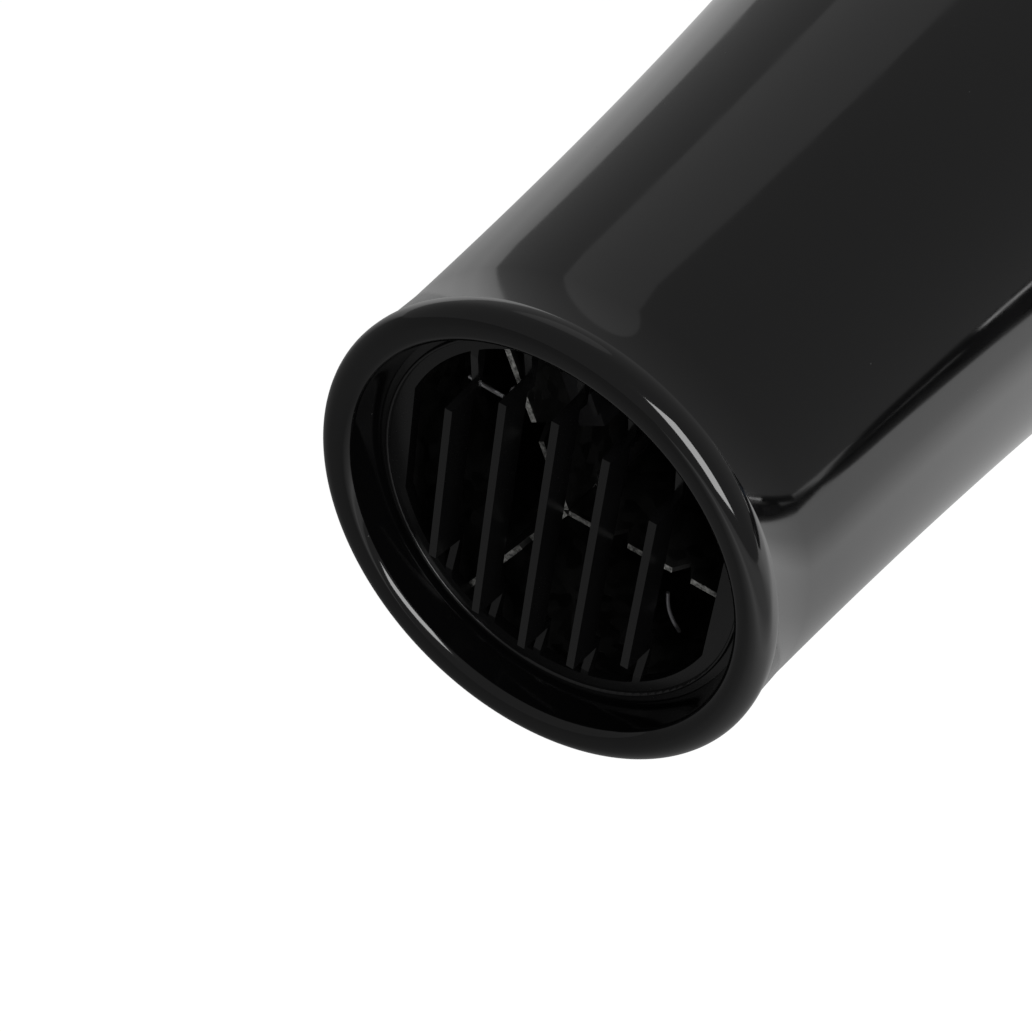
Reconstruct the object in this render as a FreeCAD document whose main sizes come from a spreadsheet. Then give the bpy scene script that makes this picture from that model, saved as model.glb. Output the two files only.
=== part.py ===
"""Hair dryer: a slim flared barrel, a round fan housing and a handle, as an assembly of separate pieces.

Frame: millimetres, +Z up. The barrel's axis is the Y axis and air leaves towards -Y. The dryer lies on
its side, so the handle points along +X and the two case halves part at Z = 0. The origin is on the axis,
in the middle of the collar behind the outlet lip that a nozzle clips onto. Depths are measured back from
the front of the lip, and every piece is then moved forward by the collar's setback.
"""
import FreeCAD, Part
import math
import os
import Sketcher

os.makedirs("parts", exist_ok=True)
doc = FreeCAD.newDocument("hair_dryer")

# ---------------------------------------------------------------- driving dimensions

SIZES = (
    # name, millimetres, meaning
    ("collar_setback", 6.2, "front of the lip to the middle of the collar"),
    ("collar_radius", 25.4, "outside of the collar that a nozzle clips onto"),
    ("collar_front", 3.4, "depth where the collar starts"),
    ("collar_back", 9.0, "depth where the collar ends and the barrel starts to flare"),
    ("lip_radius", 25.75, "outside of the rounded lip"),
    ("lip_crest", 24.1, "radius of the lip's foremost circle"),
    ("lip_side", 1.7, "depth of the lip's widest circle"),
    ("band_radius", 22.95, "inner edge of the lip's broad front band"),
    ("band_depth", 0.13, "depth of that edge"),
    ("mouth_radius", 22.05, "front edge of the steep wall inside the lip"),
    ("mouth_depth", 1.15, "depth of that edge"),
    ("mouth_rounding", 1.25, "radius between the band and the wall"),
    ("foot_radius", 21.4, "rear edge of the steep wall"),
    ("lip_back", 4.7, "back face of the returned lip, which the grille rests on"),
    ("wall", 2.1, "wall of the barrel and the case halves"),
    ("barrel_length", 118.0, "depth of the barrel's rear edge"),
    ("barrel_rear_radius", 36.9, "outside of the barrel's rear edge"),
    ("flare_radius", 1060.0, "radius of the barrel's concave flare"),
    ("spigot_length", 6.0, "overlap of the barrel inside the case halves"),
    ("bar_pitch", 5.77, "distance between grille bars"),
    ("bar_width", 0.85, "width of a grille bar"),
    ("bar_front", 1.4, "depth of the bars' front edges"),
    ("bar_circle", 15.2, "radius of the circle that the bars' front edges end on"),
    ("bar_foot_circle", 15.6, "radius of the circle where the bars' steep ends stop"),
    ("bar_foot", 5.7, "depth where the bars' steep ends stop"),
    ("bar_heel_circle", 14.6, "radius of the circle outside which the bars reach the ring's back"),
    ("tooth_circle", 18.4, "radius of the tips of the grille ring's teeth"),
    ("grille_face", 4.9, "depth of the grille ring's front face"),
    ("grille_back", 6.2, "depth of the grille ring's back face"),
    ("grille_radius", 23.1, "outside of the grille ring"),
    ("rim_outside", 20.6, "outside of the thin rim that stands on the grille ring"),
    ("rim_inside", 20.2, "inside of that rim"),
    ("rim_front", 4.5, "depth of that rim's rounded crest"),
    ("aperture_radius", 19.0, "opening of the grille ring"),
    ("aperture_flat", 17.8, "distance of the opening's two flats from the axis"),
    ("sleeve_radius", 21.9, "inside of the grille's rear sleeve"),
    ("sleeve_back", 13.0, "depth of the rear end of that sleeve"),
    ("mica_front", 6.5, "depth of the mica boards' front edges"),
    ("mica_back", 88.0, "depth of the mica boards' rear edges"),
    ("mica_thickness", 0.6, "thickness of a mica board"),
    ("mica_coil_radius", 18.6, "radius of the boards' edge under the wire"),
    ("mica_tab_radius", 20.9, "radius of the boards' tabs"),
    ("notch_pitch", 3.2, "distance between wire notches in a mica board"),
    ("notch_size", 1.1, "width and depth of a wire notch"),
    ("tube_radius", 21.7, "outside of the mica tube"),
    ("tube_wall", 0.5, "thickness of the mica tube"),
    ("tube_back", 92.0, "depth of the mica tube's rear end"),
    ("wire_radius", 0.45, "half the thickness of the coiled heater wire"),
    ("coil_front", 22.0, "depth of the first turn of heater wire"),
    ("rivet_radius", 1.5, "hollow rivets that end the heater's circuits"),
    ("rod_radius", 0.85, "tie rod through the middle of the mica boards"),
    ("rod_front", 12.2, "depth of the tie rod's front end"),
    ("mica_meeting", 0.25, "radius where the boards' front tongues meet, ahead of the rod"),
    ("carrier_front", 84.0, "depth of the heater carrier's front face"),
    ("can_radius", 13.8, "outside of the motor can"),
    ("can_wall", 1.2, "wall of the motor can"),
    ("can_front", 108.0, "depth of the motor can's front edge"),
    ("can_back", 136.0, "depth of the motor can's rear face"),
    ("shaft_radius", 1.0, "motor shaft"),
    ("running_gap", 0.05, "radial clearance of a shaft or pivot in its bore"),
    ("mount_radius", 34.7, "outside of the motor mount's ring"),
    ("mount_front", 127.0, "depth of the motor mount's front edge"),
    ("mount_back", 142.0, "depth of the motor mount's rear face"),
    ("vane_thickness", 1.4, "thickness of a guide vane"),
    ("duct_radius", 36.9, "outside of the fan duct"),
    ("duct_bore", 35.2, "inside of the fan duct"),
    ("duct_front", 141.0, "depth of the fan duct's front end"),
    ("duct_back", 176.0, "depth of the fan duct's rear end"),
    ("fan_radius", 34.4, "tips of the fan blades"),
    ("fan_hub_radius", 15.0, "outside of the fan's hub"),
    ("fan_front", 146.0, "depth of the fan's front edge"),
    ("fan_back", 164.0, "depth of the fan's rear edge"),
    ("blade_thickness", 1.3, "thickness of a fan blade"),
    ("knee_depth", 138.0, "depth where the case starts to bulge"),
    ("knee_radius", 40.0, "outside of the case there"),
    ("case_radius", 42.8, "largest outside radius of the case"),
    ("crown_front", 174.0, "depth where the case reaches its largest radius"),
    ("crown_back", 184.0, "depth where the case starts to close"),
    ("case_back", 200.0, "depth of the case's rear edge"),
    ("case_rear_radius", 40.6, "outside of the case's rear edge"),
    ("cover_back", 210.0, "depth of the rear cover's flat face"),
    ("cover_flat_radius", 31.0, "radius of the rear cover's flat face"),
    ("cover_wall", 2.0, "wall of the rear cover"),
    ("cover_spigot_radius", 38.0, "outside of the rear cover's spigot"),
    ("cover_spigot_front", 193.0, "depth of the front of that spigot"),
    ("rib_width", 1.8, "width of the rear cover's radial ribs"),
    ("bezel_face", 138.8, "depth of the switch bezel's face"),
    ("bezel_back", 141.2, "depth of the switch bezel's back"),
    ("bezel_half_width", 6.6, "half the width of the switch bezel"),
    ("bezel_near", 59.0, "centre of the bezel's rounded end nearest the axis"),
    ("bezel_far", 131.0, "centre of the bezel's far rounded end"),
    ("cool_shot_at", 66.0, "distance of the cool-shot button from the axis"),
    ("speed_at", 91.0, "distance of the speed rocker from the axis"),
    ("heat_at", 119.0, "distance of the heat rocker from the axis"),
    ("rocker_half_length", 10.0, "half the length of a rocker"),
    ("rocker_half_width", 4.5, "half the width of a rocker"),
    ("rocker_pivot", 143.9, "depth of the rockers' pivots"),
    ("pivot_radius", 1.25, "radius of a rocker's pivot"),
    ("rocker_tilt", 9.0, "degrees that a rocker tilts each way"),
    ("button_radius", 4.2, "cool-shot button"),
    ("button_flange_radius", 5.6, "flange that keeps the button in"),
    ("cap_front", 166.0, "distance of the end cap's spigot from the axis"),
    ("cap_back", 176.0, "distance of the end cap's outer face from the axis"),
    ("gland_at", 158.0, "depth of the cord gland's axis"),
    ("gland_bore", 3.6, "radius of the cord gland's bore"),
    ("gland_radius", 5.2, "outside of the cord gland's tube"),
    ("loop_at", 144.5, "depth of the hang loop's pivot"),
    ("loop_pivot", 180.6, "distance of the hang loop's pivot from the axis"),
    ("loop_reach", 12.5, "pivot to the centre of the loop's eye"),
    ("eye_radius", 6.0, "radius of the loop's eye"),
    ("loop_radius", 9.0, "outside of the loop"),
    ("loop_thickness", 3.6, "thickness of the loop"),
    ("pin_radius", 1.0, "pin of the hang loop"),
    ("screw_radius", 1.5, "shank of a case screw"),
    ("screw_head_radius", 2.8, "head of a case screw"),
    ("boss_radius", 3.6, "screw boss inside a case half"),
    ("near_boss_at", 52.0, "distance of the first case screw from the axis"),
    ("near_boss_depth", 162.0, "depth of the first case screw"),
    ("far_boss_at", 143.0, "distance of the second case screw from the axis"),
    ("far_boss_depth", 155.0, "depth of the second case screw"),
)
COIL_TURNS = 16
GUIDE_VANES = 7
FAN_BLADES = 9
COVER_RIBS = 12
COVER_SIDE_SLOTS = 36
COVER_RING_SLOTS = 4
SCREW_SEAT = 8.0  # distance of the case screws' heads below the parting plane
# rivets in each mica board: end of the heater, distance from the axis, depth
RIVETS = (("front", 15.0, 18.0), ("rear", 13.0, 80.0))
# the handle's oval sections: distance from the axis, depth of the centre, half depth, half width
GRIP_SECTIONS = (
    ("root", 18.0, 158.0, 28.0, 24.0),
    ("neck", 42.0, 157.5, 21.5, 18.0),
    ("top", 62.0, 156.5, 18.5, 15.8),
    ("middle", 120.0, 155.3, 17.3, 14.8),
    ("end", 172.0, 154.5, 16.5, 14.0),
)

sheet = doc.addObject("Spreadsheet::Sheet", "Sizes")
for row, (alias, millimetres, meaning) in enumerate(SIZES, start=1):
    sheet.set(f"A{row}", meaning)
    sheet.set(f"B{row}", str(millimetres))
    sheet.setAlias(f"B{row}", alias)
doc.recompute()


class Size:
    """A length that knows both its number and the sheet expression that gives it."""

    def __init__(self, number, text=None):
        self.number = float(number)
        self.text = text if text is not None else f"({number})"

    def join(self, other, sign, number):
        return Size(number, f"({self.text} {sign} {other.text})")

    def __add__(self, other):
        other = as_size(other)
        return self.join(other, "+", self.number + other.number)

    def __sub__(self, other):
        other = as_size(other)
        return self.join(other, "-", self.number - other.number)

    def __mul__(self, other):
        other = as_size(other)
        return self.join(other, "*", self.number * other.number)

    def __truediv__(self, other):
        other = as_size(other)
        return self.join(other, "/", self.number / other.number)

    def __neg__(self):
        return as_size(0) - self

    def __radd__(self, other):
        return as_size(other) + self

    def __rsub__(self, other):
        return as_size(other) - self

    def __rmul__(self, other):
        return as_size(other) * self


def as_size(value):
    return value if isinstance(value, Size) else Size(value)


def root(size):
    return Size(math.sqrt(size.number), f"sqrt({size.text})")


class Named:
    """The sheet's sizes as attributes."""


size = Named()
for alias, millimetres, meaning in SIZES:
    setattr(size, alias, Size(millimetres, f"Sizes.{alias}"))


def bind(thing, name, value):
    thing.setExpression(name, as_size(value).text)


# ---------------------------------------------------------------- sketches and features

ALONG_X = FreeCAD.Vector(1, 0, 0)
ALONG_Y = FreeCAD.Vector(0, 1, 0)
ALONG_Z = FreeCAD.Vector(0, 0, 1)
pieces = []


def place(thing, x=0, depth=0, z=0, axis=ALONG_Y, turn=0):
    """Sets a thing's own origin x and z from the barrel's axis, at a depth, turned about an axis."""
    thing.Placement.Rotation = FreeCAD.Rotation(axis, turn)
    bind(thing, "Placement.Base.x", x)
    bind(thing, "Placement.Base.y", depth - size.collar_setback)
    bind(thing, "Placement.Base.z", z)
    return thing


def name_piece(thing, label):
    thing.Label = label
    pieces.append(thing)
    return thing


def new_body(label, **where):
    return place(name_piece(doc.addObject("PartDesign::Body", label), label), **where)


def plane(body, role):
    return next(f for f in body.Origin.OriginFeatures if f.Role == role)


def new_sketch(body, name, role="XY_Plane", offset=0):
    """XY: sketch x is X and y is depth. XZ: x is X and y is Z, offset is depth. YZ: x is depth, y is Z."""
    sketch = body.newObject("Sketcher::SketchObject", f"{body.Name}_{name}")
    sketch.AttachmentSupport = [(plane(body, role), "")]
    sketch.MapMode = "FlatFace"
    offset = as_size(offset)
    bind(sketch, "AttachmentOffset.Base.z", -offset if role == "XZ_Plane" else offset)
    return sketch


def hold(sketch, curve, end, x, y):
    """Fixes one end of a curve at x, y of the sketch."""
    for value, kind, axis in ((x, "DistanceX", -2), (y, "DistanceY", -1)):
        if abs(value.number) < 1e-9:
            sketch.addConstraint(Sketcher.Constraint("PointOnObject", curve, end, axis))
        else:
            held = sketch.addConstraint(
                Sketcher.Constraint(kind, -1, 1, curve, end, value.number))
            bind(sketch, f"Constraints[{held}]", value)


def minor_arc(start, end, radius):
    """The short arc from start to end. A positive radius turns left, a negative one right."""
    along = end - start
    half = along.Length / 2
    reach = math.sqrt(max(radius * radius - half * half, 0))
    left = FreeCAD.Vector(-along.y, along.x, 0).normalize()
    centre = start + along * 0.5 + left * math.copysign(reach, radius)
    first, last = (start, end) if radius > 0 else (end, start)
    angles = [math.atan2(p.y - centre.y, p.x - centre.x) for p in (first, last)]
    if angles[1] < angles[0]:
        angles[1] += 2 * math.pi
    circle = Part.Circle(centre, FreeCAD.Vector(0, 0, 1), abs(radius))
    return Part.ArcOfCircle(circle, *angles)


def outline(sketch, *corners):
    """A closed outline. A corner is (x, y), or (x, y, radius) where an arc leads to it."""
    corners = [tuple(as_size(v) for v in corner) for corner in corners]
    points = [FreeCAD.Vector(c[0].number, c[1].number, 0) for c in corners]
    ends = []
    for k, corner in enumerate(corners[1:] + corners[:1]):
        start = points[k]
        end = points[(k + 1) % len(points)]
        if len(corner) == 3:
            curve = sketch.addGeometry(minor_arc(start, end, corner[2].number))
            ends.append((curve, 1, 2) if corner[2].number > 0 else (curve, 2, 1))
        else:
            ends.append((sketch.addGeometry(Part.LineSegment(start, end)), 1, 2))
    for k, (curve, first, last) in enumerate(ends):
        following, begins = ends[(k + 1) % len(ends)][:2]
        sketch.addConstraint(Sketcher.Constraint("Coincident", curve, last, following, begins))
    for k, (curve, first, last) in enumerate(ends):
        hold(sketch, curve, first, corners[k][0], corners[k][1])
        arriving = corners[(k + 1) % len(corners)]
        if len(arriving) == 3:
            held = sketch.addConstraint(
                Sketcher.Constraint("Radius", curve, abs(arriving[2].number)))
            bind(sketch, f"Constraints[{held}]",
                 arriving[2] if arriving[2].number > 0 else -arriving[2])


def circle(sketch, radius, x=0, y=0):
    radius, x, y = (as_size(v) for v in (radius, x, y))
    centre = FreeCAD.Vector(x.number, y.number, 0)
    curve = sketch.addGeometry(Part.Circle(centre, FreeCAD.Vector(0, 0, 1), radius.number))
    hold(sketch, curve, 3, x, y)
    held = sketch.addConstraint(Sketcher.Constraint("Radius", curve, radius.number))
    bind(sketch, f"Constraints[{held}]", radius)


def block(sketch, x_low, y_low, x_high, y_high):
    outline(sketch, (x_low, y_low), (x_high, y_low), (x_high, y_high), (x_low, y_high))


def slot(sketch, x_low, x_high, half_width, y=0):
    """An outline with round ends whose centres are at x_low and x_high."""
    x_low, x_high, half_width, y = (as_size(v) for v in (x_low, x_high, half_width, y))
    reach = half_width * math.sqrt(0.5)
    outline(sketch,
            (x_low, y - half_width, half_width), (x_high, y - half_width),
            (x_high + reach, y - reach, half_width), (x_high + half_width, y, half_width),
            (x_high + reach, y + reach, half_width), (x_high, y + half_width, half_width),
            (x_low, y + half_width),
            (x_low - reach, y + reach, half_width), (x_low - half_width, y, half_width),
            (x_low - reach, y - reach, half_width))


def revolve(sketch, cut=False):
    """Turns a sketch about the line x = 0 of its own plane."""
    body = sketch.getParentGeoFeatureGroup()
    kind = "PartDesign::Groove" if cut else "PartDesign::Revolution"
    feature = body.newObject(kind, f"{sketch.Name}_turned")
    feature.Profile = sketch
    feature.ReferenceAxis = (sketch, ["V_Axis"])
    feature.Angle = 360
    return feature


def extrude(sketch, length, cut=False, both_ways=False, backwards=False):
    body = sketch.getParentGeoFeatureGroup()
    kind = "PartDesign::Pocket" if cut else "PartDesign::Pad"
    feature = body.newObject(kind, f"{sketch.Name}_raised")
    feature.Profile = sketch
    feature.Midplane = both_ways
    feature.Reversed = backwards
    bind(feature, "Length", length)
    return feature


def deepen(sketch, length, cut=False):
    """Extrudes a sketch on an XZ plane towards greater depth."""
    return extrude(sketch, length, cut=cut, backwards=not cut)


def around_axis(feature, count):
    """Repeats a feature evenly round the barrel's axis."""
    body = feature.getParentGeoFeatureGroup()
    doc.recompute()
    pattern = body.newObject("PartDesign::PolarPattern", f"{feature.Name}_round")
    pattern.Originals = [feature]
    pattern.Axis = (plane(body, "Y_Axis"), [""])
    pattern.Angle = 360
    pattern.Occurrences = count
    body.Tip = pattern
    return pattern


def turned_piece(label, *corners, **where):
    """A piece turned about its own Y axis. Corners are (radius, depth)."""
    body = new_body(label, **where)
    section = new_sketch(body, "section")
    outline(section, *corners)
    revolve(section)
    return body


def tangent_radius(across, along):
    """Radius of an arc that starts square to across, and has moved across and along at its end."""
    return (across * across + along * along) / (2 * across)


# ---------------------------------------------------------------- solids put together from primitives

def cylinder(name, radius, length, x, depth, z, towards):
    """A rod that starts at a point and runs towards a direction."""
    rod = place(doc.addObject("Part::Cylinder", name), x, depth, z)
    rod.Placement.Rotation = FreeCAD.Rotation(ALONG_Z, towards)
    bind(rod, "Radius", radius)
    bind(rod, "Height", length)
    return rod


def box(name, x, depth, z):
    """A box. x, depth and z are each (low, high)."""
    made = place(doc.addObject("Part::Box", name), x[0], as_size(depth[0]), z[0])
    bind(made, "Length", as_size(x[1]) - x[0])
    bind(made, "Width", as_size(depth[1]) - depth[0])
    bind(made, "Height", as_size(z[1]) - z[0])
    return made


def join(name, *solids):
    made = doc.addObject("Part::MultiFuse", name)
    made.Shapes = list(solids)
    return made


def cut(name, base, *tools):
    made = doc.addObject("Part::Cut", name)
    made.Base = base
    made.Tool = tools[0] if len(tools) == 1 else join(f"{name}_tools", *tools)
    return made


def group(label, *solids):
    """Like pieces that share one node."""
    made = doc.addObject("Part::Compound", label)
    made.Links = list(solids)
    return name_piece(made, label)


# ---------------------------------------------------------------- barrel, grille and heater

def bore_at(depth):
    """Inside radius of the flared barrel at a depth: a chord less the arc's sag."""
    depth = as_size(depth)
    run = size.barrel_length - size.collar_back
    past = depth - size.collar_back
    slope = (size.barrel_rear_radius - size.collar_radius) / run
    sag = past * (size.barrel_length - depth) / (2 * size.flare_radius)
    return size.collar_radius - size.wall + past * slope - sag


def make_barrel_shell():
    """Barrel and lip in one: a bead outside, a steep wall inside, and a spigot at the rear."""
    inside_front = size.collar_radius - size.wall
    spigot_outside = size.barrel_rear_radius - size.wall - 0.15
    spigot_inside = spigot_outside - 1.5
    spigot_back = size.barrel_length + size.spigot_length
    crest_to_band = tangent_radius(size.band_depth, size.lip_crest - size.band_radius)
    crest_to_side = tangent_radius(size.lip_side, size.lip_radius - size.lip_crest)
    side_to_collar = tangent_radius(size.lip_radius - size.collar_radius,
                                    size.collar_front - size.lip_side)
    turned_piece(
        "barrel_shell",
        (size.band_radius, size.band_depth, size.mouth_rounding),
        (size.lip_crest, 0, crest_to_band),
        (size.lip_radius, size.lip_side, crest_to_side),
        (size.collar_radius, size.collar_front, side_to_collar),
        (size.collar_radius, size.collar_back),
        (size.barrel_rear_radius, size.barrel_length, -size.flare_radius),
        (spigot_outside, size.barrel_length),
        (spigot_outside, spigot_back),
        (spigot_inside, spigot_back),
        (spigot_inside, size.barrel_length - 5),
        (bore_at(size.barrel_length - 9), size.barrel_length - 9),
        (inside_front, size.collar_back, size.flare_radius),
        (inside_front, size.lip_back),
        (size.foot_radius, size.lip_back),
        (size.mouth_radius, size.mouth_depth))


def make_outlet_grille():
    """A ring with two flats in its opening, a sleeve behind it, and five bars that stand in front."""
    body = new_body("outlet_grille")
    rim = new_sketch(body, "rim", "XZ_Plane", size.grille_face)
    circle(rim, size.grille_radius)
    deepen(rim, size.sleeve_back - size.grille_face)
    sleeve = new_sketch(body, "sleeve", "XZ_Plane", size.sleeve_back)
    circle(sleeve, size.sleeve_radius)
    extrude(sleeve, size.sleeve_back - size.grille_back, cut=True, backwards=True)
    flat = size.aperture_flat
    half_chord = root(size.aperture_radius * size.aperture_radius - flat * flat)
    aperture = new_sketch(body, "aperture", "XZ_Plane", size.grille_face)
    outline(aperture,
            (flat, -half_chord, size.aperture_radius), (flat, half_chord),
            (0, size.aperture_radius, size.aperture_radius),
            (-flat, half_chord, size.aperture_radius),
            (-flat, -half_chord),
            (0, -size.aperture_radius, size.aperture_radius))
    deepen(aperture, 3, cut=True)
    crest = (size.rim_outside - size.rim_inside) / 2
    raised = new_sketch(body, "raised_rim")
    outline(raised,
            (size.rim_inside, size.rim_front + crest), (size.rim_inside + crest, size.rim_front,
                                                        crest),
            (size.rim_outside, size.rim_front + crest, crest),
            (size.rim_outside, size.grille_back), (size.rim_inside, size.grille_back))
    revolve(raised)
    for k in range(-2, 3):
        across = k * size.bar_pitch

        def reach(radius):
            return root(radius * radius - across * across)

        front = reach(size.bar_circle)
        foot = reach(size.bar_foot_circle)
        heel = reach(size.bar_heel_circle)
        tooth = reach(size.tooth_circle)
        seat = reach(size.sleeve_radius - 0.6)
        face = size.grille_face
        bar = new_sketch(body, f"bar_{k + 3}", "YZ_Plane", across)
        outline(bar,
                (size.bar_front, -front), (size.bar_foot, -foot), (face, -tooth), (face, -seat),
                (size.grille_back, -seat), (size.grille_back, -heel), (face + 0.1, -heel),
                (face + 0.1, heel), (size.grille_back, heel), (size.grille_back, seat),
                (face, seat), (face, tooth), (size.bar_foot, foot), (size.bar_front, front))
        extrude(bar, size.bar_width, both_ways=True)


def make_mica_board(label, turn, front_notches):
    """One board, standing out from the axis. front_notches are the radii of V cuts in its front edge."""
    body = new_body(label, turn=turn)
    inner = size.rod_radius + 0.25
    front = size.mica_front
    tab = size.mica_tab_radius
    edge = size.mica_coil_radius
    cuts = []
    for radius in front_notches:
        cuts += [(radius - 1.1, front), (radius, front + 1.9), (radius + 1.1, front)]
    board = new_sketch(body, "board")
    outline(board, (size.mica_meeting, front), *cuts, (tab, front), (tab, front + 6),
            (edge, front + 8), (edge, size.mica_back - 8), (tab, size.mica_back - 6),
            (tab, size.mica_back), (inner, size.mica_back), (inner, size.rod_front - 0.2),
            (size.mica_meeting, size.rod_front - 0.2))
    extrude(board, size.mica_thickness, both_ways=True)
    holes = new_sketch(body, "rivet_holes")
    for name, radius, depth in RIVETS:
        circle(holes, size.rivet_radius, radius, depth)
    extrude(holes, 2, cut=True, both_ways=True)
    notch = new_sketch(body, "notch")
    start = size.coil_front - size.notch_size / 2
    block(notch, edge - size.notch_size, start, edge + 0.5, start + size.notch_size)
    first_notch = extrude(notch, 2, cut=True, both_ways=True)
    doc.recompute()
    row = body.newObject("PartDesign::LinearPattern", f"{label}_notches")
    row.Originals = [first_notch]
    row.Direction = (plane(body, "Y_Axis"), [""])
    row.Occurrences = COIL_TURNS
    bind(row, "Length", size.notch_pitch * (COIL_TURNS - 1))
    body.Tip = row


def make_heater_wire(label, first_turn, turns):
    """Triangular turns of coiled wire in the boards' notches, each side a separate straight coil."""
    radius = size.mica_coil_radius - size.notch_size / 2
    side = radius * math.sqrt(3)
    end_gap = 1.4
    coils = []
    for turn in range(first_turn, first_turn + turns):
        depth = size.coil_front + turn * size.notch_pitch
        for arm in range(3):
            angle = math.radians(120 * arm)
            along = FreeCAD.Vector(math.cos(angle + math.radians(150)), 0,
                                   math.sin(angle + math.radians(150)))
            coils.append(cylinder(
                f"{label}_{turn}_{arm}", size.wire_radius, side - 2 * end_gap,
                radius * math.cos(angle) + end_gap * along.x, depth,
                radius * math.sin(angle) + end_gap * along.z, along))
    group(label, *coils)


def make_rivets():
    """Hollow rivets that end the heater's circuits, one near each end of each board."""
    rivets = []
    for arm in range(3):
        angle = math.radians(120 * arm)
        across = FreeCAD.Vector(-math.sin(angle), 0, math.cos(angle))
        for end, radius, depth in RIVETS:
            start = (radius * math.cos(angle) - 1.1 * across.x, depth,
                     radius * math.sin(angle) - 1.1 * across.z)
            name = f"rivet_{end}_{arm}"
            rod = cylinder(f"{name}_rod", size.rivet_radius, 2.2, *start, across)
            bore = cylinder(f"{name}_bore", 0.8, 2.2, *start, across)
            rivets.append(cut(name, rod, bore))
    group("heater_rivets", *rivets)


def make_thermostat():
    """A bimetal thermostat beside the upper board, just inside the outlet."""
    body = new_body("thermostat", turn=-120)
    base_height = 3.1
    arm_height = 0.6
    board_face = size.mica_thickness / 2
    base = new_sketch(body, "base", offset=-base_height - board_face)
    block(base, 6.5, 12.0, 12.5, 20.0)
    extrude(base, base_height)
    arm = new_sketch(body, "arm", offset=-base_height - arm_height - board_face)
    block(arm, 8.3, 11.0, 10.7, 21.0)
    extrude(arm, arm_height)


def make_heater():
    make_mica_board("mica_board_stem", 0, (6.0, 13.2))
    make_mica_board("mica_board_upper", -120, (9.0,))
    make_mica_board("mica_board_lower", 120, (8.0, 14.0))
    tube_front = size.mica_front - 0.2
    turned_piece("mica_tube",
                 (size.tube_radius, tube_front), (size.tube_radius, size.tube_back),
                 (size.tube_radius - size.tube_wall, size.tube_back),
                 (size.tube_radius - size.tube_wall, tube_front))
    turned_piece("heater_tie_rod",
                 (0, size.rod_front), (size.rod_radius, size.rod_front),
                 (size.rod_radius, size.mica_back + 3), (0, size.mica_back + 3))
    make_heater_wire("heater_wire_main", 0, 10)
    make_heater_wire("heater_wire_low", 10, COIL_TURNS - 10)
    make_rivets()
    make_thermostat()
    lead = 0.45
    body = 1.7
    turned_piece("thermal_fuse",
                 (0, 66), (lead, 66), (lead, 70), (body, 71.5), (body, 79), (lead, 79),
                 (lead, 84), (0, 84), x=3.0, z=5.2)
    front = size.carrier_front
    back = front + 6
    inside = size.tube_radius + 0.1
    turned_piece("heater_carrier",
                 (inside, front), (bore_at(front) - 0.3, front),
                 (bore_at(back) - 0.3, back), (inside, back))


# ---------------------------------------------------------------- motor, fan and duct

def make_motor():
    bearing = 3.5
    gap = 0.1
    can_inside = size.can_radius - size.can_wall
    floor = size.can_back - size.can_wall
    turned_piece("motor_can",
                 (size.can_radius, size.can_front), (size.can_radius, size.can_back),
                 (bearing + gap, size.can_back), (bearing + gap, floor),
                 (can_inside, floor), (can_inside, size.can_front))
    cap_front = size.can_front - 4
    turned_piece("motor_end_cap",
                 (bearing + gap, cap_front), (size.can_radius - 0.8, cap_front),
                 (size.can_radius, cap_front + 0.8), (size.can_radius, size.can_front),
                 (can_inside, size.can_front), (can_inside, cap_front + 2.2),
                 (bearing + gap, cap_front + 2.2))
    magnet_inside = 10.7
    turned_piece("motor_magnet_ring",
                 (magnet_inside, 112), (can_inside, 112), (can_inside, 131), (magnet_inside, 131))
    bore = size.shaft_radius + size.running_gap
    for label, front, back in (("front_bearing", cap_front - 0.8, cap_front + 2.8),
                               ("rear_bearing", floor, size.can_back + 2.6)):
        turned_piece(label, (bore, front), (bearing, front), (bearing, back), (bore, back))
    for label, inside, outside, front, back in (
            ("motor_shaft", 0, size.shaft_radius, 102, 165),
            ("motor_armature", size.shaft_radius, 10.0, 113, 130),
            ("motor_commutator", size.shaft_radius, 3.2, 107.5, 112),
            ("rectifier_board", 2.5, 13.2, 97, 98.6)):
        turned_piece(label, (inside, front), (outside, front), (outside, back), (inside, back))
    diodes = []
    tabs = []
    for k in range(4):
        angle = math.radians(45 + 90 * k)
        diodes.append(cylinder(f"diode_{k}", 1.35, 5.2, 8 * math.cos(angle), 91.7,
                               8 * math.sin(angle), ALONG_Y))
    group("rectifier_diodes", *diodes)
    for side, x in (("near", 9.0), ("far", -10.0)):
        tabs.append(box(f"terminal_{side}", (x, x + 1.0), (98.7, cap_front), (-1.5, 1.5)))
    group("motor_terminals", *tabs)


def make_motor_mount():
    """A cup for the motor, guide vanes round it, and the ring that they stand in."""
    body = new_body("motor_mount")
    inside = size.can_radius + 0.25
    outside = inside + 1.7
    floor = size.can_back + 0.2
    cup = new_sketch(body, "cup")
    outline(cup, (inside, 112), (outside, 112), (outside, size.mount_back - 1),
            (3.9, size.mount_back - 1), (3.9, floor), (inside, floor))
    revolve(cup)
    ring_inside = size.mount_radius - 1.6
    vane = new_sketch(body, "vane", "XZ_Plane", size.mount_front + 1)
    half = size.vane_thickness / 2
    block(vane, outside - 0.4, -half, ring_inside + 0.5, half)
    around_axis(deepen(vane, 12), GUIDE_VANES)
    ring = new_sketch(body, "ring")
    outline(ring, (ring_inside, size.mount_front), (size.mount_radius, size.mount_front),
            (size.mount_radius, size.mount_back), (ring_inside, size.mount_back))
    revolve(ring)


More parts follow.
